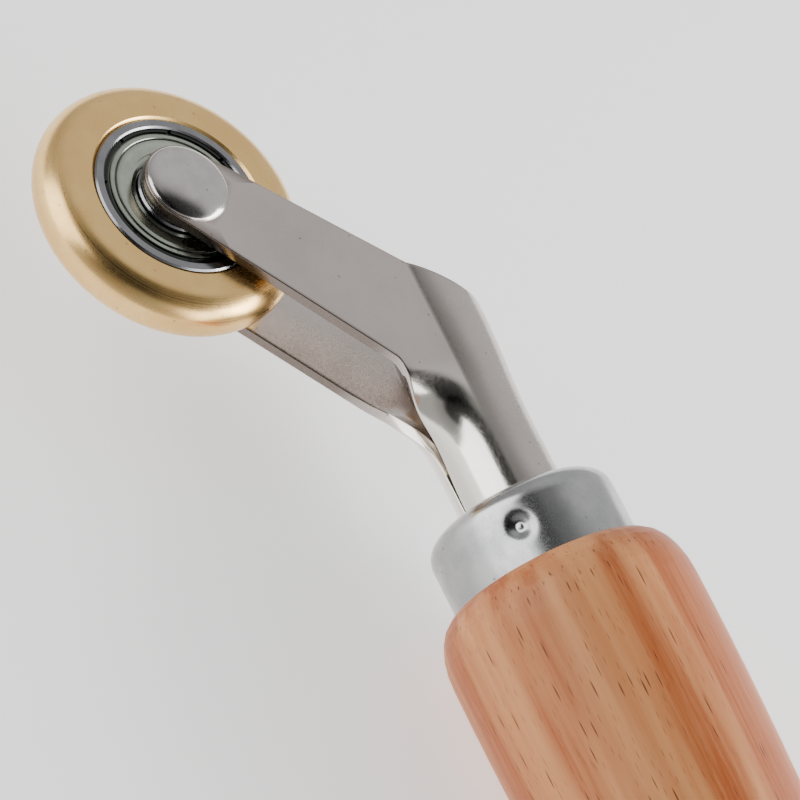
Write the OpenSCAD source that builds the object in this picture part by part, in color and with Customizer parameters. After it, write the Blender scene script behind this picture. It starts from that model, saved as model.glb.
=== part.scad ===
// Hand roller: a brass wheel on a shielded ball bearing, riveted between the arms of an
// angled sheet-steel fork, whose rolled tang is held in a beech handle by a steel ferrule.
// Lying frame: +X runs along the handle towards its butt, +Z is the wheel's axle, and the
// wheel leans to -Y. The origin is at the bottom centre of the whole tool's box.

/* [Wheel] */
// Outside diameter of the brass wheel
wheel_d = 30; // [28:0.5:32]
// Width of the brass wheel, as wide as its bearing
wheel_w = 6; // [6:0.1:6.4]
// Distance from the ferrule's mouth forward to the wheel's centre
wheel_ahead = 41; // [38:0.5:46]
// Distance from the handle's axis sideways to the wheel's centre
wheel_aside = 24.3; // [22:0.1:26]

/* [Bearing] */
// Outside diameter of the bearing
bearing_d = 19; // [19:0.01:19.02]
// Bore of the bearing, and the rivet's shank
bearing_bore_d = 6; // [5.9:0.05:6]
// Width of the bearing
bearing_w = 6; // [6:0.01:6.02]
// Diameter of one ball
ball_d = 3.5; // [3.4:0.01:3.52]
// Number of balls
ball_count = 6; // [5:1:6]
// Diameter of the circle that the balls' centres lie on
pitch_d = 12.6; // [12.55:0.01:12.65]
// Play between a ball and each raceway
ball_play = 0.03; // [0.02:0.01:0.05]
// Number of notches in each shield's rim
shield_notches = 8; // [4:1:12]

/* [Fork] */
// Thickness of the fork's sheet steel
sheet_t = 1.2; // [0.9:0.05:1.3]
// Distance from the middle plane to an arm's outer face
arm_out = 4.9; // [4.8:0.05:5.1]
// Radius of an arm's round end
arm_end_r = 4.8; // [4.5:0.05:5]
// Angle between the handle's axis and an arm's back edge
arm_back_angle = 49.4; // [48:0.1:50]
// Angle between the handle's axis and an arm's front edge
arm_front_angle = 42.7; // [42:0.1:44]
// Length of the tang inside the handle
tang_l = 40; // [30:1:50]

/* [Rivet] */
// Diameter of the rivet's heads
rivet_head_d = 9.2; // [8.6:0.1:9.4]
// Height of a rivet head above the arm
rivet_head_h = 1.05; // [0.9:0.05:1.3]

/* [Ferrule] */
// Outside diameter of the ferrule
ferrule_d = 20.8; // [20:0.1:22]
// Length of the ferrule
ferrule_l = 8.6; // [8:0.1:10]
// Wall of the ferrule
ferrule_t = 0.8; // [0.6:0.05:1]
// Radius of the ferrule's rounded front edge
ferrule_edge_r = 2.2; // [1.8:0.1:2.6]
// Angle of the first crimp dimple round the handle's axis, from +Y towards +Z
dimple_angle = 133.5; // [120:0.5:150]

/* [Handle] */
// Largest diameter of the handle
handle_d = 27.8; // [26:0.1:30]
// Length of the wood behind the ferrule
handle_l = 110; // [100:1:130]
// How much thinner the handle's waist is, in radius
handle_waist = 1.6; // [0.5:0.1:2.4]
// Diameter of the flat on the butt
butt_flat_d = 9; // [6:0.5:12]

/* [Hidden] */
$fn = 96;

wheel_c = [-wheel_ahead, -wheel_aside];
arm_in = arm_out - sheet_t;
overlap = 1;                       // how far a cutter runs past what it cuts
front_x = wheel_c.x - wheel_d / 2;
butt_x = ferrule_l + handle_l;
side_low_y = wheel_c.y - wheel_d / 2;
box_shift = [-(front_x + butt_x) / 2, -(side_low_y + handle_d / 2) / 2, handle_d / 2];

// Places its children, drawn about the ferrule's mouth, in the tool's own frame.
module in_tool() translate(box_shift) children();

// Places its children at the wheel's centre.
module at_wheel() in_tool() translate([wheel_c.x, wheel_c.y, 0]) children();

// Turns a shape that was revolved about Z so that it lies along +X.
module along_x() in_tool() rotate([0, 90, 0]) children();

// The near piece as drawn, or the far piece as its mirror image.
module on_side(far) mirror([0, 0, far ? 1 : 0]) children();

function smooth(u) = let (c = min(1, max(0, u))) c * c * (3 - 2 * c);

// ---- Brass wheel: flat sides and a full round tread ----
module brass_wheel() color([0.80, 0.63, 0.36]) at_wheel() rotate_extrude()
    difference() {
        union() {
            translate([bearing_d / 2 - overlap, -wheel_w / 2])
                square([wheel_d / 2 - wheel_w / 2 - bearing_d / 2 + overlap, wheel_w]);
            translate([wheel_d / 2 - wheel_w / 2, 0]) circle(r = wheel_w / 2);
        }
        translate([0, -wheel_w]) square([bearing_d / 2, 2 * wheel_w]);
        for (s = [-1, 1]) translate([bearing_d / 2, s * wheel_w / 2])
            rotate(45) square(0.5, center = true);   // bore chamfers
    }

// ---- Bearing ----
ball_r = ball_d / 2;
pitch_r = pitch_d / 2;
groove_r = ball_r + 2 * ball_play;     // a raceway is a little wider than the ball
inner_land_r = 5.05;
inner_step_r = 4.65;                   // the land is stepped down beside each shield
outer_land_r = 7.5;
shield_seat_r = 8.4;
shield_out_z = 2.75;                   // outer face of a shield
shield_t = 0.25;
seat_z = shield_out_z - 2 * shield_t;  // where the seats for the shields begin
step_z = 2;                            // where the inner ring is stepped down
ring_chamfer = 0.25;

module bearing_inner_ring() color([0.72, 0.72, 0.73]) at_wheel() rotate_extrude()
    difference() {
        union() {
            translate([bearing_bore_d / 2, -step_z])
                square([inner_land_r - bearing_bore_d / 2, 2 * step_z]);
            translate([bearing_bore_d / 2, -bearing_w / 2])
                square([inner_step_r - bearing_bore_d / 2, bearing_w]);
        }
        translate([pitch_r + ball_play, 0]) circle(r = groove_r);
        for (s = [-1, 1]) translate([inner_step_r, s * bearing_w / 2])
            rotate(45) square(ring_chamfer, center = true);
    }

module bearing_outer_ring() color([0.66, 0.66, 0.68]) at_wheel() rotate_extrude()
    difference() {
        translate([outer_land_r, -bearing_w / 2])
            square([bearing_d / 2 - outer_land_r, bearing_w]);
        translate([pitch_r - ball_play, 0]) circle(r = groove_r);
        for (s = [-1, 1]) {
            translate([outer_land_r - overlap, s > 0 ? seat_z : -bearing_w / 2 - overlap])
                square([shield_seat_r - outer_land_r + overlap, bearing_w / 2 - seat_z + overlap]);
            translate([bearing_d / 2, s * bearing_w / 2])
                rotate(45) square(ring_chamfer, center = true);
            translate([shield_seat_r, s * bearing_w / 2])
                rotate(45) square(ring_chamfer, center = true);
        }
    }

// A shield is a thin pressed disc: a notched rim, a groove, and a raised face round a hole.
module shield(far) {
    rim_in_r = 8.0;
    face_out_r = 7.75;
    hole_r = 4.8;
    edge_r = shield_seat_r - 0.02;
    notch_w = 0.4;
    color([0.70, 0.71, 0.70]) at_wheel() on_side(far) difference() {
        rotate_extrude() {
            translate([hole_r, seat_z]) square([edge_r - hole_r, shield_t]);
            translate([rim_in_r, shield_out_z - 1.5 * shield_t])
                square([edge_r - rim_in_r, 1.5 * shield_t]);
            translate([hole_r + 0.7, shield_out_z - 1.5 * shield_t])
                square([face_out_r - hole_r - 0.7, 1.5 * shield_t]);
        }
        for (n = [0:shield_notches - 1])
            rotate([0, 0, 27 + n * 360 / shield_notches])
                translate([rim_in_r - 0.1, -notch_w / 2, shield_out_z - shield_t])
                    cube([overlap, notch_w, overlap]);
    }
}
module shield_near() shield(false);
module shield_far() shield(true);

// One ball, on the pitch circle.
module ball(n) color([0.80, 0.80, 0.82]) at_wheel()
    rotate([0, 0, (n - 1) * 360 / ball_count]) translate([pitch_r, 0, 0]) sphere(r = ball_r);

// Half of the ribbon cage: a flat web with a round pocket over each ball.
cage_in_r = 5.6;
cage_out_r = 7;
cage_t = 0.25;
cage_play = 0.06;
cage_rivet_r = 0.3;
module cage_half(far) color([0.62, 0.60, 0.56]) at_wheel() on_side(far) difference() {
    intersection() {
        rotate_extrude() translate([cage_in_r, 0]) square([cage_out_r - cage_in_r, ball_d]);
        union() {
            cylinder(r = cage_out_r + overlap, h = cage_t);
            for (n = [0:ball_count - 1]) rotate([0, 0, n * 360 / ball_count])
                translate([pitch_r, 0, 0]) sphere(r = ball_r + cage_play + cage_t);
        }
    }
    for (n = [0:ball_count - 1]) rotate([0, 0, n * 360 / ball_count]) {
        translate([pitch_r, 0, 0]) sphere(r = ball_r + cage_play);
        rotate([0, 0, 180 / ball_count]) translate([pitch_r, 0, -overlap])
            cylinder(r = cage_rivet_r, h = 3 * overlap);
    }
}
module cage_half_near() cage_half(false);
module cage_half_far() cage_half(true);

module cage_rivets() {
    head_r = 0.5;
    head_h = 0.2;
    color([0.55, 0.54, 0.52]) at_wheel() for (n = [0:ball_count - 1])
        rotate([0, 0, (n + 0.5) * 360 / ball_count]) translate([pitch_r, 0, 0]) {
            translate([0, 0, -cage_t - head_h])
                cylinder(r = cage_rivet_r, h = 2 * (cage_t + head_h));
            for (s = [0, 1]) mirror([0, 0, s]) translate([0, 0, cage_t])
                cylinder(r = head_r, h = head_h);
        }
}

// ---- Axle ----
// A solid rivet: a shank through both arms, with a low domed head at each end.
module axle_rivet() {
    head_r = rivet_head_d / 2;
    dome_drop = 0.6;              // how much lower the head's rim is than its middle
    dome_r = (head_r * head_r + dome_drop * dome_drop) / (2 * dome_drop);
    color([0.74, 0.72, 0.71]) at_wheel() {
        translate([0, 0, -arm_out]) cylinder(r = bearing_bore_d / 2, h = 2 * arm_out);
        for (s = [0, 1]) mirror([0, 0, s]) translate([0, 0, arm_out]) rotate_extrude()
            intersection() {
                square([head_r, rivet_head_h]);
                translate([0, rivet_head_h - dome_r]) circle(r = dome_r);
            }
    }
}

// A plain washer that keeps an arm off the bearing's inner ring.
module spacer(far) color([0.70, 0.70, 0.71]) at_wheel() on_side(far) difference() {
    spacer_r = 4.1;
    translate([0, 0, bearing_w / 2]) cylinder(r = spacer_r, h = arm_in - bearing_w / 2);
    cylinder(r = bearing_bore_d / 2, h = 2 * arm_out);
}
module spacer_near() spacer(false);
module spacer_far() spacer(true);

// ---- Fork ----
// The tang and neck are a rolled tube. Ahead of the closed tube the sheet's front half opens
// and flattens into the two arms. Each half-section runs from the back, round an arc, to a
// crease where the flat arm begins, and on through a flange to the sheet's front edge.
tube_r = 5.7;                     // outside radius of the closed tube
tube_y = 0.5;                     // the tube lies a little behind the handle's axis
crease = [tube_y - sqrt(tube_r * tube_r - arm_out * arm_out), arm_out];
seam_gap = 0.25;
flange_l = tube_r * acos((tube_y - crease.x) / tube_r) * PI / 180 - seam_gap / 2;
open_x = -7;                      // ahead of this the seam opens
flat_x = -14.5;                   // ahead of this the flange is flat
flange_lag = 3;                   // how much later the flange rolls beside the crease
web_top_x = -27.9;                // where the back web starts, at the creases
web_back_x = -22;                 // where the web's top edge reaches the back
web_edge_bulge = 0.8;             // how far the web's top edge curves away from a straight line
web_edge_steps = 6;
flange_steps = 7;
arc_steps = 9;
web_bulge = 0.6;                  // how far the web's arc moves back at its top

function arc_centre(x) = tube_y + web_bulge * smooth((-x - 8) / 14);
function closing(x, s) =          // 0 flat to 1 rolled; the front edge starts first
    let (start = flat_x + flange_lag * (1 - s / flange_l))
    smooth((x - start) / (open_x - start));
function flange_angle(x, s) =
    let (rolled = acos(arm_out / tube_r))
    closing(x, s) * (rolled + s / tube_r * 180 / PI);
function flange_point(x, i) =
    i == 0 ? crease
    : let (ds = flange_l / flange_steps, a = flange_angle(x, (i - 0.5) * ds))
      flange_point(x, i - 1) - ds * [cos(a), sin(a)];
function arc_normal(x, i) =
    let (c = arc_centre(x), end = atan2(crease.y, crease.x - c), a = end * i / arc_steps)
    [cos(a), sin(a)];
function arc_point(x, i) =
    let (c = arc_centre(x), r = norm([crease.x - c, crease.y]))
    [c, 0] + r * arc_normal(x, i);
function flange_normal(x, i) =
    let (a = flange_angle(x, i * flange_l / flange_steps)) [-sin(a), cos(a)];

function half_outer(x) = concat(
    [for (i = [0:arc_steps]) arc_point(x, i)],
    [for (i = [1:flange_steps]) flange_point(x, i)]);
function half_inner(x) =
    let (mid = arc_normal(x, arc_steps) + flange_normal(x, 0), n = mid / norm(mid))
    concat(
        [for (i = [0:arc_steps - 1]) arc_point(x, i) - sheet_t * arc_normal(x, i)],
        [crease - sheet_t * n],
        [for (i = [1:flange_steps]) flange_point(x, i) - sheet_t * flange_normal(x, i)]);
function both_halves(half) = concat(
    [for (i = [len(half) - 1:-1:1]) [half[i].x, -half[i].y]], half);

module neck() {
    bend_steps = 11;
    stations = concat([web_top_x - overlap],
        [for (i = [0:bend_steps]) flat_x + (open_x - flat_x) * i / bend_steps],
        [0, tang_l]);
    across = 2 * (arc_steps + flange_steps) + 1;
    rings = [for (x = stations)
        concat([for (p = both_halves(half_outer(x))) [x, p.x, p.y]],
               [for (p = both_halves(half_inner(x))) [x, p.x, p.y]])];
    ring = 2 * across;
    last = (len(stations) - 1) * ring;
    side = concat([for (k = [0:across - 1]) k], [for (k = [ring - 1:-1:across]) k]);
    walls = [for (s = [0:len(stations) - 2]) for (k = [0:ring - 1])
        let (a = side[k], b = side[(k + 1) % ring])
        [s * ring + a, (s + 1) * ring + a, (s + 1) * ring + b, s * ring + b]];
    caps = [for (k = [0:across - 2]) for (e = [0, 1])
        e == 0 ? [k, k + 1, across + k + 1, across + k]
               : [last + k + 1, last + k, last + across + k, last + across + k + 1]];
    polyhedron(points = [for (r = rings) for (p = r) p], faces = concat(walls, caps));
}

// Side outline that trims the web's top edge: a shallow curve from the creases to the back.
module web_outline() {
    back_y = arc_point(web_back_x, 0).x + 0.1;   // just past the back of the sheet
    edge = [for (i = [0:web_edge_steps])
        let (u = 1 - i / web_edge_steps)
        [web_top_x + (web_back_x - web_top_x) * u + web_edge_bulge * sin(180 * u),
         crease.x + (back_y - crease.x) * u]];
    polygon(concat([[web_top_x, -2 * wheel_d], [tang_l + overlap, -2 * wheel_d],
                    [tang_l + overlap, handle_d], [web_back_x, handle_d]], edge));
}

// Side outline of an arm, from its round end to the crease.
module arm_outline() {
    back_n = [-sin(arm_back_angle), cos(arm_back_angle)];
    front_n = [sin(arm_front_angle), -cos(arm_front_angle)];
    back_start = wheel_c + arm_end_r * back_n;
    front_start = wheel_c + arm_end_r * front_n;
    root_y = crease.x + 0.4;
    front_y = crease.x - flange_l;
    back_x = back_start.x + (root_y - back_start.y) / tan(arm_back_angle);
    front_end_x = front_start.x + (front_y - front_start.y) / tan(arm_front_angle);
    translate(wheel_c) circle(r = arm_end_r);
    polygon([wheel_c, back_start, [back_x, root_y], [flat_x, root_y], [flat_x, front_y],
             [front_end_x, front_y], front_start]);
}

module fork() color([0.66, 0.63, 0.61]) in_tool() difference() {
    union() {
        intersection() {
            neck();
            translate([0, 0, -handle_d]) linear_extrude(height = 2 * handle_d) web_outline();
        }
        for (far = [0, 1]) mirror([0, 0, far]) translate([0, 0, arm_in])
            linear_extrude(height = sheet_t) arm_outline();
    }
    translate([wheel_c.x, wheel_c.y, -handle_d]) cylinder(r = bearing_bore_d / 2, h = 2 * handle_d);
}

// ---- Ferrule: a drawn cup with a hole for the tang and two crimp dimples ----
// The lip round the shape is given by how far it lies inside the ferrule's outer surface.
module cup_section(inset) {
    r = ferrule_d / 2 - inset;
    edge = ferrule_edge_r - inset;
    translate([0, inset]) square([r - edge, ferrule_l - inset]);
    translate([0, ferrule_edge_r]) square([r, ferrule_l - ferrule_edge_r]);
    translate([r - edge, ferrule_edge_r]) circle(r = edge);
}

dimple_r = 1.5;
dimple_depth = 1.1;
dimple_x = ferrule_l * 0.55;
module at_dimples() for (turn = [0, 180])
    translate([dimple_x, 0, 0]) rotate([dimple_angle + turn, 0, 0])
        translate([0, ferrule_d / 2, 0]) rotate([-90, 0, 0]) children();

// A punch mark grown by some thickness: a cone that points in towards the handle's axis and
// runs a little past the ferrule's surface.
punch_past = 0.3;
module punch(grow) translate([0, 0, -dimple_depth - grow])
    cylinder(r1 = 0.35 + grow, r2 = dimple_r + punch_past + grow,
             h = dimple_depth + grow + punch_past);

tang_hole_r = tube_r + 0.3;
module ferrule() color([0.62, 0.64, 0.66]) difference() {
    union() {
        along_x() difference() {
            rotate_extrude() cup_section(0);
            rotate_extrude() cup_section(ferrule_t);
            translate([0, 0, ferrule_l - overlap])
                cylinder(r = ferrule_d / 2 - ferrule_t, h = 2 * overlap);
            translate([0, tube_y, -overlap]) cylinder(r = tang_hole_r, h = 3 * overlap);
        }
        in_tool() at_dimples() translate([0, 0, -dimple_depth - 0.5])
            cylinder(r1 = 0.6, r2 = 1.5, h = dimple_depth + 0.1);
    }
    in_tool() at_dimples() punch(0);
}

// ---- Handle: turned beech with a tenon for the ferrule and a bore for the tang ----
shoulder_l = 6;                   // length of the rounded shoulder behind the ferrule
shoulder_start_r = ferrule_d / 2 + 0.5;
dome_l = 10;                      // length of the rounded butt
fit_gap = 0.05;                   // play of the tenon and tang in their seats
function handle_radius(s) =       // s runs from the shoulder to the butt
    let (r = handle_d / 2,
         u = (s - shoulder_l) / (handle_l - shoulder_l - dome_l),
         waist = handle_waist * pow(sin(180 * pow(min(1, max(0, u)), 1.15)), 2),
         v = (s - handle_l + dome_l) / dome_l)
    s < shoulder_l ? shoulder_start_r + (r - shoulder_start_r) * sqrt(1 - pow(1 - s / shoulder_l, 2))
    : v > 0 ? butt_flat_d / 2 + (r - butt_flat_d / 2) * sqrt(max(0, 1 - v * v))
    : r - waist;

module handle_section() {
    shoulder_s = [for (a = [0:15:90]) shoulder_l * (1 - cos(a))];
    body_s = [for (i = [1:24]) shoulder_l + (handle_l - shoulder_l - dome_l) * i / 24];
    dome_s = [for (a = [10:10:90]) handle_l - dome_l + dome_l * sin(a)];
    outline = [for (s = concat(shoulder_s, body_s, dome_s)) [handle_radius(s), ferrule_l + s]];
    polygon(concat([[0, ferrule_l]], outline, [[0, butt_x]]));
}

module handle() color([0.80, 0.52, 0.33]) difference() {
    union() {
        along_x() rotate_extrude() handle_section();
        along_x() rotate_extrude() difference() {
            cup_section(ferrule_t + fit_gap);
            translate([-handle_d, 0]) square([handle_d, ferrule_l]);
        }
    }
    along_x() translate([0, tube_y, -overlap])
        cylinder(r = tube_r + fit_gap, h = tang_l + 2 * overlap);
    in_tool() at_dimples() punch(0.5 + fit_gap);
}

handle();
ferrule();
fork();
axle_rivet();
spacer_near();
spacer_far();
bearing_inner_ring();
bearing_outer_ring();
cage_half_near();
cage_half_far();
cage_rivets();
shield_near();
shield_far();
brass_wheel();
for (n = [1:ball_count])
    ball(n);
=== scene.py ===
# Looks for the seam roller: the fork, the rivet and the ferrule get finer meshes in the places
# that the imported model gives, and every piece gets a procedural material.
import math

import bmesh
import bpy
import numpy as np
from mathutils import Matrix, Vector


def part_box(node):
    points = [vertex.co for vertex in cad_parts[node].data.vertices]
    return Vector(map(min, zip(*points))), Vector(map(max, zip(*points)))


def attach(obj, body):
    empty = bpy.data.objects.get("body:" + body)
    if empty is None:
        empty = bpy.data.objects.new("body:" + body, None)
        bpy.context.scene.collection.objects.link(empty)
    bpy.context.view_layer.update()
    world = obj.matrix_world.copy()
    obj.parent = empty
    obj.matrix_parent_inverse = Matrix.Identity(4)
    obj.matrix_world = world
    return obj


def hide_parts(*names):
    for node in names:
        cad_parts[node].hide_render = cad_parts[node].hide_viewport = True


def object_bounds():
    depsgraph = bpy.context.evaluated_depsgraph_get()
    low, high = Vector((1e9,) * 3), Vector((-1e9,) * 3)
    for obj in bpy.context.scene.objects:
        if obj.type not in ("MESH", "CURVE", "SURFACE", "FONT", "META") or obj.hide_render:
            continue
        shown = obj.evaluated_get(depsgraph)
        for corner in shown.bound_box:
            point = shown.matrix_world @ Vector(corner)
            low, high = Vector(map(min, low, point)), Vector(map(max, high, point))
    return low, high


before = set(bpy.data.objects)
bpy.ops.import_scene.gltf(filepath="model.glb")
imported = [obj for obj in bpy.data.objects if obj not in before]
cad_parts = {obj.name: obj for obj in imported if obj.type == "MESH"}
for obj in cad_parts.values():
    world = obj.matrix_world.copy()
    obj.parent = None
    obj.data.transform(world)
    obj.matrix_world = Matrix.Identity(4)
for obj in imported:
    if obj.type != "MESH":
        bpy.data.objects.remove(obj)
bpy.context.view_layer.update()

MM = 0.001

# ---- Where things are, from the frame ----
ferrule_lo, ferrule_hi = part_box("ferrule")
MOUTH = Vector((ferrule_lo.x, (ferrule_lo.y + ferrule_hi.y) / 2, (ferrule_lo.z + ferrule_hi.z) / 2))
wheel_lo, wheel_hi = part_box("brass_wheel")
WHEEL = (wheel_lo + wheel_hi) / 2
WHEEL_MM = np.array([(WHEEL.x - MOUTH.x) / MM, (WHEEL.y - MOUTH.y) / MM])


def in_tool(x, y, z):
    """A point given in mm from the ferrule's mouth, in the scene's frame."""
    return MOUTH + Vector((x, y, z)) * MM


def smooth(u):
    """0 to 1 with a soft start and end."""
    u = np.clip(u, 0, 1)
    return u * u * (3 - 2 * u)


def smooth_object(name, verts, faces, weld, sharp_angle=None):
    """A smooth-shaded object from points in mm. Points within weld of each other are joined,
    and edges that turn by sharp_angle or more stay sharp."""
    mesh = bpy.data.meshes.new(name)
    mesh.from_pydata([in_tool(*p) for p in verts], [], faces)
    bm = bmesh.new()
    bm.from_mesh(mesh)
    bmesh.ops.remove_doubles(bm, verts=bm.verts, dist=weld * MM)
    bmesh.ops.recalc_face_normals(bm, faces=bm.faces)
    top = max(bm.faces, key=lambda f: f.calc_center_median().y)
    if top.normal.y < 0:
        bmesh.ops.reverse_faces(bm, faces=bm.faces)
    for f in bm.faces:
        f.smooth = True
    if sharp_angle is not None:
        for e in bm.edges:
            e.smooth = len(e.link_faces) == 2 and e.calc_face_angle() < sharp_angle
    bm.to_mesh(mesh)
    bm.free()
    obj = bpy.data.objects.new(name, mesh)
    bpy.context.collection.objects.link(obj)
    return obj


# ---- Fork ----
# One skin of bent sheet, in mm from the ferrule's mouth. Each half is an arm that runs into
# the front of the rolled tube, and a web that goes round the tube's back. They meet at the
# crease, and s is the distance from it along the sheet, towards the sheet's front edge.
SHEET = 1.2
ARM_OUT = 4.9                     # from the middle plane to an arm's outer face
ARM_END_R = 4.8
ARM_START = 6.5                   # how far from the wheel's axis the arm's round end stops
RIVET_HOLE_R = 3.0
BACK_ANGLE, FRONT_ANGLE = math.radians(49.4), math.radians(42.7)
TUBE_R, TUBE_Y, TUBE_Z = 5.8, 0.5, -0.25
SEAM_TURN = math.radians(10)      # how far the seam lies round to the far side
SEAM_GAP = 0.1                    # how far each front edge stays short of the seam
TANG_L = 40.0
CLOSED_X = -6.0                   # behind this the tube is closed
EDGE_BLEND = 0.15                 # how softly the arm's front edge runs into the flange's
TRIM_REACH = 6.0                  # how far along the edge a trim fades out
WEB_BACK_X = -22.0                # the web's top edge at the back
WEB_BULGE = 0.8                   # how far that edge curves away from a straight line
ARC_SHIFT = 0.55                  # how far the web's arc moves back at its top
ARC_SHIFT_X, ARC_SHIFT_L = -8.0, 14.0   # where that move starts, and over what length
# Where each half is flat, where its seam opens, how much later it curls beside the crease,
# where it is bent along the crease, and how much its front edge is trimmed back and where.
HALVES = (
    {"side": 1, "flat": -18.5, "open": -9.0, "lag": 5.0, "bend": (-15.5, -6.5), "power": 0.6,
     "trim": 1.0, "trim_x": -11.7},
    {"side": -1, "flat": -15.8, "open": -7.2, "lag": 0.8, "bend": (-15.5, -7.2), "power": 0.6,
     "trim": 0.6, "trim_x": -14.0},
)
# The mesh's lines: across the sheet, along the arm, along the neck, and along the tube.
STRIP = np.concatenate([[0, 0.02, 0.05], np.linspace(0.09, 1, 26)])
ARM_LINES = np.linspace(0, 1, 12)[:-1]
NECK_LINES = np.linspace(0, 1, 50)
TUBE_STATIONS = np.array([-4.5, -3, -1.5, 0, 3, 8, 14, 20, 26, 32, TANG_L])


def crease_h(half):
    """Height of the crease over the tube's axis."""
    return ARM_OUT - TUBE_Z * half["side"]


def crease_y(half):
    """y of the crease."""
    return TUBE_Y - math.sqrt(TUBE_R ** 2 - crease_h(half) ** 2)


def rolled_angle(half):
    """How far the rolled sheet has turned from the flat arm where it leaves the crease."""
    return math.acos(crease_h(half) / TUBE_R)


def flange_length(half, x):
    """s of the flange's front edge."""
    full = TUBE_R * (math.pi / 2 + SEAM_TURN * half["side"] - rolled_angle(half)) - SEAM_GAP
    return full - half["trim"] * np.exp(-((x - half["trim_x"]) / TRIM_REACH) ** 2)


def flange(half, x, s):
    """Points on the outer surface at x and s, by following the bent sheet from the crease."""
    steps = 24
    part = (np.arange(steps) + 0.5) / steps
    x1, s1 = x[..., None], s[..., None] * part
    start = half["flat"] + half["lag"] * (1 - s1 / flange_length(half, x1))
    curl = smooth((x1 - start) / (half["open"] - start)) ** half["power"]
    bend_start, bend_end = half["bend"]
    bend = smooth((x1 - bend_start) / (bend_end - bend_start)) ** half["power"]
    angle = bend * rolled_angle(half) + np.cumsum(curl, -1) * s[..., None] / steps / TUBE_R
    y = crease_y(half) - s * np.cos(angle).mean(-1)
    z = ARM_OUT - s * np.sin(angle).mean(-1)
    return np.stack([x, y, z * half["side"]], -1)


def edge_line(angle, turn):
    """A straight edge of the arm: a point on it and its slope."""
    normal = turn * np.array([-math.sin(angle), math.cos(angle)])
    return WHEEL_MM + ARM_END_R * normal, math.tan(angle)


def front_s(half, x):
    """s of the sheet's front edge: the arm's edge runs smoothly into the flange's."""
    (px, py), slope = edge_line(FRONT_ANGLE, -1)
    arm_s = crease_y(half) - (py + slope * (x - px))
    return EDGE_BLEND * np.logaddexp(arm_s / EDGE_BLEND, flange_length(half, x) / EDGE_BLEND)


def back_s(half, x):
    """s of the arm's back edge, which comes down to 0 where that edge meets the crease."""
    (px, py), slope = edge_line(BACK_ANGLE, 1)
    return np.maximum(0, crease_y(half) - (py + slope * (x - px)))


def crease_top(half):
    """x where the arm's back edge meets the crease."""
    (px, py), slope = edge_line(BACK_ANGLE, 1)
    return px + (crease_y(half) - py) / slope


def neck_stations(start):
    """x of the lines across the neck and the tube, from start backwards."""
    return np.concatenate([start + (CLOSED_X - start) * NECK_LINES, TUBE_STATIONS])


def arm_strip(half):
    """The arm and the flange. The first line lies square across the arm by its round end."""
    back_point, _ = edge_line(BACK_ANGLE, 1)
    front_point, front_slope = edge_line(FRONT_ANGLE, -1)
    corner = crease_top(half)
    front_y = crease_y(half) - float(flange_length(half, half["flat"]))
    front_corner = front_point[0] + (front_y - front_point[1]) / front_slope
    mid = (BACK_ANGLE + FRONT_ANGLE) / 2
    across = np.array([-math.sin(mid), math.cos(mid)])
    first = WHEEL_MM + ARM_START * np.array([math.cos(mid), math.sin(mid)])
    starts = []
    for point, angle in ((back_point, BACK_ANGLE), (front_point, FRONT_ANGLE)):
        d = np.array([math.cos(angle), math.sin(angle)])
        t = np.linalg.solve(np.array([across, -d]).T, point - first)
        starts.append(first[0] + t[0] * across[0])
    upper = np.concatenate([starts[0] + (corner - starts[0]) * ARM_LINES, neck_stations(corner)])
    lower = np.concatenate([starts[1] + (front_corner - starts[1]) * ARM_LINES,
                            neck_stations(front_corner)])
    x = upper[:, None] + (lower - upper)[:, None] * STRIP
    top_s, bottom_s = back_s(half, upper), front_s(half, lower)
    top_s[len(ARM_LINES):] = 0
    return flange(half, x, top_s[:, None] + (bottom_s - top_s)[:, None] * STRIP)


def round_end(half, line):
    """The arm's end, as rays from the rivet's hole to the outline, which starts with line."""
    def edge_points(a, b):
        return [a + (b - a) * t for t in (0.25, 0.5, 0.75)]
    turns = np.linspace(FRONT_ANGLE - math.pi / 2, BACK_ANGLE + math.pi / 2 - 2 * math.pi, 40)
    arc = [WHEEL_MM + ARM_END_R * np.array([math.cos(a), math.sin(a)]) for a in turns]
    rim = np.array(line + edge_points(line[-1], arc[0]) + arc + edge_points(arc[-1], line[0])
                   + [line[0]])
    rays = rim - WHEEL_MM
    hole = WHEEL_MM + RIVET_HOLE_R * rays / np.linalg.norm(rays, axis=1)[:, None]
    ring = np.stack([hole, (hole + rim) / 2, rim])
    return np.concatenate([ring, np.full(ring.shape[:2] + (1,), ARM_OUT * half["side"])], -1)


def web_point(half, x, part):
    """Points of the web: part is 1 at the crease and 0 at the back."""
    c = TUBE_Y + ARC_SHIFT * smooth((ARC_SHIFT_X - x) / ARC_SHIFT_L)
    near, far = ((crease_y(h) - c, crease_h(h)) for h in HALVES)
    own = near if half["side"] > 0 else far
    end = np.arctan2(own[1], own[0])
    radius_mid = (np.hypot(*near) + np.hypot(*far)) / 2
    radius = radius_mid + (np.hypot(*own) - radius_mid) * part ** 2
    return np.stack([x, c + radius * np.cos(end * part),
                     TUBE_Z + half["side"] * radius * np.sin(end * part)], -1)


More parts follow.
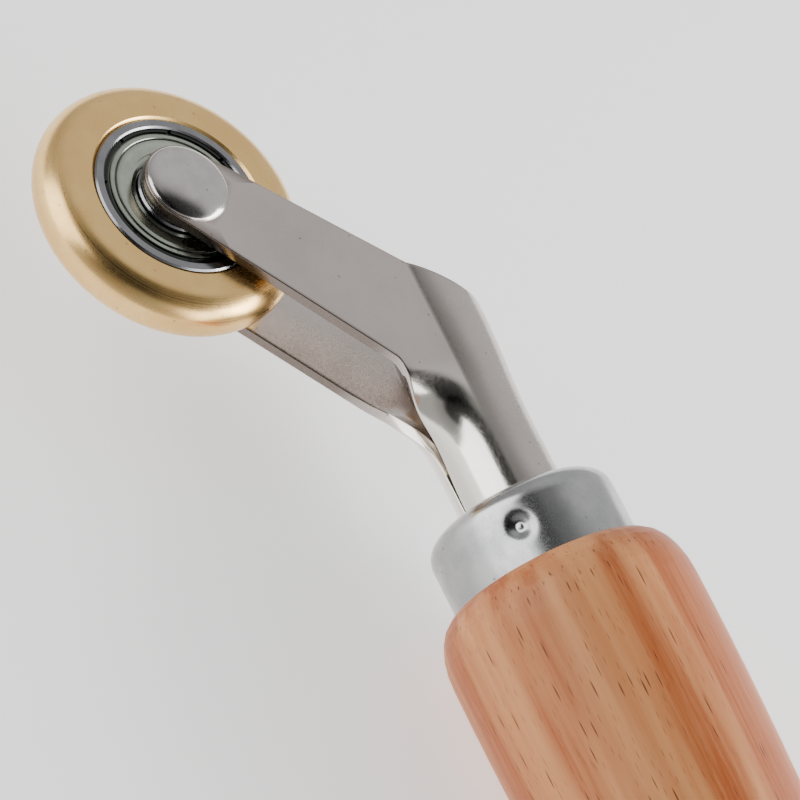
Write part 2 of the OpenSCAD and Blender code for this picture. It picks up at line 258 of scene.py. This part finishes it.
def web_sheet(half, crease_line):
    """The web, from the crease round to the back, with its curved top edge."""
    corner = crease_top(half)
    crease_x, back_x = neck_stations(corner), neck_stations(WEB_BACK_X)
    part = np.concatenate([[1, 0.975, 0.94], np.linspace(0.89, 0, 16)])
    top_x = np.full(part.shape, corner)
    for _ in range(8):            # the arc moves with x, so this closes in on the edge
        top_y = web_point(half, top_x, part)[:, 1]
        rise = (top_y - top_y[0]) / (top_y[-1] - top_y[0])
        top_x = corner + (WEB_BACK_X - corner) * rise + WEB_BULGE * np.sin(np.pi * rise)
    share = (top_x - corner) / (WEB_BACK_X - corner)
    x = crease_x[:, None] + (back_x - crease_x)[:, None] * share
    web = web_point(half, x, np.broadcast_to(part, x.shape))
    web[:, 0] = crease_line
    return web


def add_grid(verts, faces, points, flip):
    """Adds a grid of points and its faces."""
    rows, cols = points.shape[:2]
    base = len(verts)
    verts.extend(points.reshape(-1, 3).tolist())
    for i in range(rows - 1):
        for j in range(cols - 1):
            a = base + i * cols + j
            quad = (a, a + 1, a + cols + 1, a + cols)
            faces.append(quad[::-1] if flip else quad)


def make_fork():
    verts, faces = [], []
    for half in HALVES:
        near = half["side"] > 0
        strip = arm_strip(half)
        add_grid(verts, faces, strip, near)
        add_grid(verts, faces, round_end(half, [p[:2] for p in strip[0]]), not near)
        add_grid(verts, faces, web_sheet(half, strip[len(ARM_LINES):, 0]), not near)
    obj = smooth_object("fork_sheet", verts, faces, 0.01)
    obj.vertex_groups.new(name="cut_edge")
    solid = obj.modifiers.new("thickness", "SOLIDIFY")
    solid.rim_vertex_group = "cut_edge"
    solid.thickness = SHEET * MM
    solid.offset = -1
    solid.use_even_offset = True
    bevel = obj.modifiers.new("edges", "BEVEL")
    bevel.width = 0.14 * MM
    bevel.segments = 2
    bevel.limit_method = "ANGLE"
    bevel.angle_limit = math.radians(50)
    normals = obj.modifiers.new("normals", "WEIGHTED_NORMAL")
    normals.keep_sharp = False
    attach(obj, "holder")
    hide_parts("fork")
    return obj


fork = make_fork()


# ---- Axle rivet and ferrule ----
def revolved(name, rings, closed=False):
    """A solid from rings of points in mm: from pole to pole, or closed on itself."""
    count, around = len(rings), len(rings[0])
    faces = []
    for i in range(count if closed else count - 1):
        here, there = i * around, (i + 1) % count * around
        for k in range(around):
            after = (k + 1) % around
            faces.append((here + k, here + after, there + after, there + k))
    verts = [p for ring in rings for p in ring]
    return smooth_object(name, verts, faces, 0.0005, math.radians(32))


def make_rivet():
    head_r, head_h, shaft_r, rim = 4.6, 1.05, 2.99, 0.14
    dome = [0] + list(np.linspace(0.12, 0.9, 14)) + [0.93, 0.955, 0.975, 0.99, 1]
    head = [(head_r * u, rim + (head_h - rim) * (1 - u ** 2.4) ** 0.7) for u in dome]
    head.append((head_r - 0.06, 0))
    half = [(r, ARM_OUT + z) for r, z in head] + [(shaft_r, ARM_OUT)]
    turns = np.linspace(0, 2 * math.pi, 97)[:-1]
    rings = [[(WHEEL_MM[0] + r * math.cos(a), WHEEL_MM[1] + r * math.sin(a), z) for a in turns]
             for r, z in half + [(r, -z) for r, z in half[::-1]]]
    obj = revolved("rivet", rings)
    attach(obj, "holder")
    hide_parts("axle_rivet")
    return obj


def make_ferrule():
    r, length, wall, edge, hole_r = 10.4, 8.6, 0.8, 2.2, 6.0
    bevel, lip = 0.12, 0.1        # at the open end, and round the tang's hole
    step = 0.2                    # between the mesh's lines along the side
    dimple_x, dimple_angle = length * 0.55, math.radians(133.5)
    depth, spread, peak, peak_spread = 0.8, 1.05, 0.34, 0.42

    def dent(x, angle):
        """A punched dimple and the small peak in its middle, here and on the opposite side."""
        off = (angle - dimple_angle + math.pi / 2) % math.pi - math.pi / 2
        d = math.hypot(x - dimple_x, r * off)
        return -depth * math.exp(-(d / spread) ** 2) + peak * math.exp(-(d / peak_spread) ** 2)

    bend = [math.radians(t) for t in range(0, 91, 9)]
    outside = [(length, r - bevel), (length - bevel, r)]
    outside += [(x, r) for x in np.arange(length - 2 * step, edge + step / 2, -step)]
    outside += [(edge - edge * math.sin(t), r - edge + edge * math.cos(t)) for t in bend]
    inner = edge - wall
    inside = [(wall + inner - inner * math.sin(t), r - wall - inner + inner * math.cos(t))
              for t in bend[::-1]] + [(length, r - wall)]
    turns = np.linspace(0, 2 * math.pi, 361)[:-1]

    def ring(x, radius_at, centre_y=0.0):
        return [(x, centre_y + radius_at(a) * math.cos(a), radius_at(a) * math.sin(a))
                for a in turns]

    rings = [ring(x, lambda a: radius + dent(x, a)) for x, radius in outside]
    rings += [ring(x, lambda a: radius, TUBE_Y)
              for x, radius in ((0.0, hole_r + lip), (lip, hole_r), (wall, hole_r))]
    rings += [ring(x, lambda a: radius) for x, radius in inside]
    obj = revolved("ferrule_cup", rings, closed=True)
    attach(obj, "holder")
    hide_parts("ferrule")
    return obj


ferrule = make_ferrule()
rivet = make_rivet()


# ---- Materials ----
def colour(r, g, b):
    """An sRGB colour, 0 to 255, as linear RGBA."""
    lin = [c / 255 / 12.92 if c <= 10 else ((c / 255 + 0.055) / 1.055) ** 2.4 for c in (r, g, b)]
    return (*lin, 1)


def set_steps(ramp, steps):
    """Fills a colour ramp with (position, grey) steps."""
    while len(ramp.color_ramp.elements) < len(steps):
        ramp.color_ramp.elements.new(0.5)
    for element, (position, grey) in zip(ramp.color_ramp.elements, steps):
        element.position = position
        element.color = (grey, grey, grey, 1)


class Paint:
    """Builds a node material from the output back."""

    def __init__(self, name):
        self.material = bpy.data.materials.get(name) or bpy.data.materials.new(name)
        self.material.use_nodes = True
        self.tree = self.material.node_tree
        self.tree.nodes.clear()
        out = self.tree.nodes.new("ShaderNodeOutputMaterial")
        self.bsdf = self.node("ShaderNodeBsdfPrincipled")
        self.link(self.bsdf.outputs[0], out.inputs["Surface"])
        self.place = self.node("ShaderNodeTexCoord").outputs["Object"]

    def link(self, a, b):
        self.tree.links.new(a, b)

    def feed(self, socket, value):
        """Links a socket into a socket, or sets a constant on it."""
        if isinstance(value, bpy.types.NodeSocket):
            self.link(value, socket)
        else:
            socket.default_value = value

    def node(self, kind, values=None, **props):
        n = self.tree.nodes.new(kind)
        for k, v in props.items():
            setattr(n, k, v)
        for k, v in (values or {}).items():
            self.feed(n.inputs[k], v)
        return n

    def set(self, **sockets):
        for name, v in sockets.items():
            self.feed(self.bsdf.inputs[name.replace("_", " ")], v)

    def now(self, name):
        """What already feeds one of the shader's sockets."""
        return self.bsdf.inputs[name].links[0].from_socket

    def math(self, operation, a, b=0.0):
        return self.node("ShaderNodeMath", {0: a, 1: b}, operation=operation).outputs[0]

    def mix(self, factor, a, b):
        return self.node("ShaderNodeMix", {0: factor, 6: a, 7: b}, data_type="RGBA").outputs[2]

    def ramp(self, value, lo, hi, to_lo=0.0, to_hi=1.0):
        return self.node("ShaderNodeMapRange", {
            "Value": value, "From Min": lo, "From Max": hi, "To Min": to_lo,
            "To Max": to_hi}, interpolation_type="SMOOTHSTEP").outputs[0]

    def stretched(self, scale, origin=(0, 0, 0)):
        """Object coordinates in mm from origin, times scale."""
        s = [v / MM for v in scale]
        move = [-o * v for o, v in zip(origin, s)]
        return self.node("ShaderNodeMapping", {"Vector": self.place, "Scale": s,
                                               "Location": move}).outputs[0]

    def noise(self, vector, detail=3.0, roughness=0.5):
        return self.node("ShaderNodeTexNoise", {
            "Vector": vector, "Scale": 1.0, "Detail": detail,
            "Roughness": roughness}).outputs["Fac"]

    def grain(self, scale, detail=3.0, roughness=0.5):
        return self.noise(self.stretched(scale), detail, roughness)

    def dots(self, vector):
        """Distance to the nearest of some scattered points."""
        return self.node("ShaderNodeTexVoronoi", {"Vector": vector,
                                                  "Scale": 1.0}).outputs["Distance"]

    def specks(self, base, lo, hi, amount, tint):
        """Small dark specks over a base colour."""
        spots = self.dots(self.stretched((0.5, 0.5, 0.5)))
        return self.mix(self.ramp(spots, lo, hi, amount, 0), base, tint)

    def from_axle(self):
        """Radius from the wheel's axis, and the place along it, in mm."""
        x, y, z = self.node("ShaderNodeSeparateXYZ", {0: self.stretched((1, 1, 1), WHEEL)}).outputs
        square = self.math("ADD", self.math("MULTIPLY", x, x), self.math("MULTIPLY", y, y))
        return self.math("SQRT", square), z

    def bump(self, height, distance_mm):
        n = self.node("ShaderNodeBump", {"Height": height, "Distance": distance_mm * MM,
                                         "Strength": 1.0})
        self.link(n.outputs[0], self.bsdf.inputs["Normal"])


def metal(name, light, dark, rough, mottle=0.12, grain=(6, 6, 6), bump=0.002):
    """Metal with soft blotches, a fine grain and a few dark specks."""
    p = Paint(name)
    blotch = p.grain((mottle, mottle, mottle), 4, 0.6)
    fine = p.grain(grain, 2)
    base = p.mix(p.ramp(blotch, 0.3, 0.7), dark, light)
    base = p.specks(base, 0.03, 0.10, 0.5, colour(70, 62, 55))
    p.set(Base_Color=base, Metallic=1.0,
          Roughness=p.math("ADD", p.ramp(blotch, 0.25, 0.75, rough + 0.03, rough - 0.03),
                           p.ramp(fine, 0.3, 0.7, -0.03, 0.03)))
    p.bump(fine, bump)
    return p


def paint_fork():
    """Matt arms with darker cut edges, and a painted highlight: the front of the rolled neck is
    painted paler, and is less rough.
    """
    p = metal("fork_steel", colour(200, 191, 186), colour(192, 183, 177), 0.26,
              grain=(2.5, 2.5, 8), bump=0.001)
    x, y, _ = p.node("ShaderNodeSeparateXYZ", {0: p.stretched((1, 1, 1), MOUTH)}).outputs
    # Painted highlight: the front side of the rolled neck is mixed towards a pale colour. It is
    # also made less rough there.
    painted_highlight_and_polish = p.math("MULTIPLY", p.ramp(x, -17, -12), p.ramp(y, -0.5, -3.5))
    base = p.mix(painted_highlight_and_polish, p.now("Base Color"), colour(236, 231, 222))
    cut = p.node("ShaderNodeAttribute", attribute_name="cut_edge").outputs["Fac"]
    # The arms' cut edges are made darker, fading out towards the neck.
    dark_arm_edge = p.math("MULTIPLY", cut, p.ramp(x, -20, -16, 0.85, 0))
    p.set(Base_Color=p.mix(dark_arm_edge, base, colour(118, 106, 98)),
          Roughness=p.math("SUBTRACT", p.now("Roughness"), p.math("MULTIPLY", painted_highlight_and_polish, 0.10)))
    fork.data.materials.append(p.material)


def paint_ferrule():
    p = metal("zinc_steel", colour(186, 186, 185), colour(168, 169, 170), 0.24, 0.3,
              grain=(5, 5, 5), bump=0.001)
    ferrule.data.materials.append(p.material)


def paint_rivet():
    p = metal("rivet_steel", colour(205, 200, 197), colour(192, 187, 184), 0.17, 0.5,
              bump=0.0005)
    rivet.data.materials.append(p.material)


def paint_bearing():
    metal("bearing_steel", colour(148, 148, 151), colour(134, 134, 137), 0.2, 0.3, bump=0.0005)
    metal("cage_steel", colour(190, 188, 184), colour(170, 168, 164), 0.25, bump=0.001)
    metal("ball_steel", colour(220, 220, 224), colour(212, 212, 216), 0.06, bump=0.0001)


def paint_shields():
    """Pressed rings, with painted shade as dark steps in the gaps and grooves between them, by
    radius in mm from the hole to the rim.
    """
    p = metal("shield_steel", colour(186, 192, 178), colour(170, 178, 164), 0.2, 0.5, bump=0.001)
    radius, _ = p.from_axle()
    rings = p.node("ShaderNodeValToRGB", {0: p.ramp(radius, 4.4, 8.4)})
    # The darkest steps are painted shade in the gaps and grooves, mixed towards near-black below.
    set_steps(rings, ((0.0, 0.25), (0.10, 0.9), (0.55, 1.0), (0.70, 0.75), (0.745, 0.12),
                      (0.77, 0.2), (0.80, 0.85), (0.90, 0.8), (0.95, 0.15), (1.0, 0.05)))
    p.set(Base_Color=p.mix(rings.outputs[0], colour(28, 27, 28), p.now("Base Color")))
    p.bump(rings.outputs[0], 0.12)


def paint_brass():
    """Brass, turned on a lathe, so the grain runs round the wheel's axis."""
    p = Paint("brass")
    lines_per_mm = 7.0
    radius, z = p.from_axle()
    turned = p.node("ShaderNodeCombineXYZ", {
        0: p.math("MULTIPLY", radius, lines_per_mm),
        1: p.math("MULTIPLY", z, lines_per_mm)}).outputs[0]
    lathe = p.noise(turned)
    blotch = p.grain((0.25, 0.25, 0.25), 4, 0.6)
    base = p.mix(p.ramp(blotch, 0.3, 0.7), colour(240, 195, 125), colour(247, 206, 135))
    base = p.specks(base, 0.04, 0.12, 0.35, colour(120, 88, 50))
    p.set(Base_Color=base, Metallic=1.0,
          Roughness=p.math("ADD", p.ramp(blotch, 0.25, 0.75, 0.31, 0.25),
                           p.ramp(lathe, 0.3, 0.7, -0.03, 0.03)))
    p.bump(lathe, 0.002)


def paint_beech():
    """Growth bands along the handle, long pores and short fine ray flecks."""
    p = Paint("beech")
    bands = p.grain((0.008, 0.14, 0.14), 3, 0.55)
    fibre = p.grain((0.05, 2.2, 2.2), 4, 0.65)
    soft = p.grain((0.02, 0.5, 0.5), 3, 0.5)
    base = p.mix(p.ramp(bands, 0.40, 0.60), colour(172, 86, 36), colour(226, 156, 100))
    base = p.mix(p.ramp(soft, 0.35, 0.7, 0, 0.45), base, colour(170, 84, 36))
    base = p.mix(p.ramp(fibre, 0.35, 0.75, 0, 0.4), base, colour(216, 150, 98))
    warp = p.grain((0.05, 0.3, 0.3), 1)

    def flecks(scale):
        return p.dots(p.node("ShaderNodeVectorMath", {0: p.stretched(scale), 1: warp},
                             operation="ADD").outputs[0])

    pore, ray = flecks((0.15, 1.9, 1.9)), flecks((0.35, 3.2, 3.2))
    base = p.mix(p.ramp(ray, 0.10, 0.26, 0.45, 0), base, colour(140, 70, 34))
    base = p.mix(p.ramp(pore, 0.09, 0.21, 0.9, 0), base, colour(108, 50, 22))
    p.set(Base_Color=base, Roughness=p.ramp(fibre, 0.2, 0.8, 0.42, 0.52),
          Specular_IOR_Level=0.35, Coat_Weight=0.05, Coat_Roughness=0.3)
    p.bump(p.math("SUBTRACT", fibre, p.ramp(pore, 0.09, 0.21, 1, 0)), 0.02)


paint_fork()
paint_ferrule()
paint_rivet()
paint_bearing()
paint_shields()
paint_brass()
paint_beech()

# ---- Camera ----
CAMERA_AZIMUTH = math.radians(28)
CAMERA_ELEVATION = math.radians(45)
CAMERA_ROLL = math.radians(42.8)
CAMERA_AIM = in_tool(-10.5, -15.5, 9.3)
CAMERA_DISTANCE = 0.300

camera_data = bpy.data.cameras.new("camera")
camera_data.lens = 135
camera_data.sensor_width = 36
camera = bpy.data.objects.new("camera", camera_data)
bpy.context.collection.objects.link(camera)
back = Vector((math.sin(CAMERA_AZIMUTH) * math.cos(CAMERA_ELEVATION),
               -math.cos(CAMERA_AZIMUTH) * math.cos(CAMERA_ELEVATION),
               math.sin(CAMERA_ELEVATION)))
level_right = Vector((math.cos(CAMERA_AZIMUTH), math.sin(CAMERA_AZIMUTH), 0))
level_up = back.cross(level_right)
right = math.cos(CAMERA_ROLL) * level_right + math.sin(CAMERA_ROLL) * level_up
up = back.cross(right)
camera.matrix_world = Matrix.Translation(CAMERA_AIM + back * CAMERA_DISTANCE) @ Matrix(
    (right, up, back)).transposed().to_4x4()
bpy.context.scene.camera = camera

# ---- Floor and light ----
FLOOR_SIZE = 4
FLOOR_GAP = 0.0002                # how far the floor lies under the tool
bpy.ops.mesh.primitive_plane_add(size=FLOOR_SIZE, location=(0, 0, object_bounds()[0].z - FLOOR_GAP))
floor = bpy.context.object
floor.name = "floor"
paper = Paint("paper")
paper.set(Base_Color=(0.86, 0.855, 0.855, 1), Roughness=0.9, Specular_IOR_Level=0.1,
          Emission_Color=(1.0, 1.0, 1.0, 1), Emission_Strength=0.74)
floor.data.materials.append(paper.material)

LIGHTS = (
    # name, direction from the tool, distance, width, height, watts
    ("left_box", (-0.46, -0.78, 0.38), 0.45, 0.34, 0.46, 1.7),
    ("right_box", (0.88, 0.38, 0.28), 0.45, 0.34, 0.34, 1.4),
    ("rear_box", (0.45, 0.82, 0.40), 0.60, 0.45, 0.34, 5.0),
)
LIT_POINT = in_tool(-15, -6, 0)
for name, direction, distance, width, height, watts in LIGHTS:
    data = bpy.data.lights.new(name, "AREA")
    data.shape = "RECTANGLE"
    data.size, data.size_y, data.energy = width, height, watts
    lamp = bpy.data.objects.new(name, data)
    bpy.context.collection.objects.link(lamp)
    away = Vector(direction).normalized()
    lamp.matrix_world = Matrix.Translation(LIT_POINT + away * distance) @ away.to_track_quat(
        "Z", "Y").to_matrix().to_4x4()

# The room's light is the product of these: a direction each, and steps of grey by the cosine
# of the angle to it.
ROOM = (
    ((-0.33, 0.62, 0.71), ((0.45, 0.46), (0.90, 0.78))),                  # bright ceiling
    ((0.02, -0.56, 0.83), ((0.55, 1.0), (0.82, 0.65), (0.92, 0.06))),     # unlit, in front
    ((0.25, 0.08, 0.96), ((0.78, 1.0), (0.93, 0.08))),                    # unlit, overhead
)


def light_room():
    world = bpy.data.worlds.new("world")
    bpy.context.scene.world = world
    world.use_nodes = True
    tree = world.node_tree
    heading = tree.nodes.new("ShaderNodeTexCoord").outputs["Generated"]

    def combined(operation, a):
        n = tree.nodes.new("ShaderNodeVectorMath")
        n.operation = operation
        tree.links.new(a, n.inputs[0])
        return n

    light = None
    for direction, steps in ROOM:
        dot = combined("DOT_PRODUCT", heading)
        dot.inputs[1].default_value = Vector(direction).normalized()
        lobe = tree.nodes.new("ShaderNodeValToRGB")
        lobe.color_ramp.interpolation = "EASE"
        tree.links.new(dot.outputs["Value"], lobe.inputs[0])
        set_steps(lobe, steps)
        if light is None:
            light = lobe.outputs[0]
        else:
            product = combined("MULTIPLY", light)
            tree.links.new(lobe.outputs[0], product.inputs[1])
            light = product.outputs[0]
    tree.links.new(light, tree.nodes["Background"].inputs["Color"])


light_room()
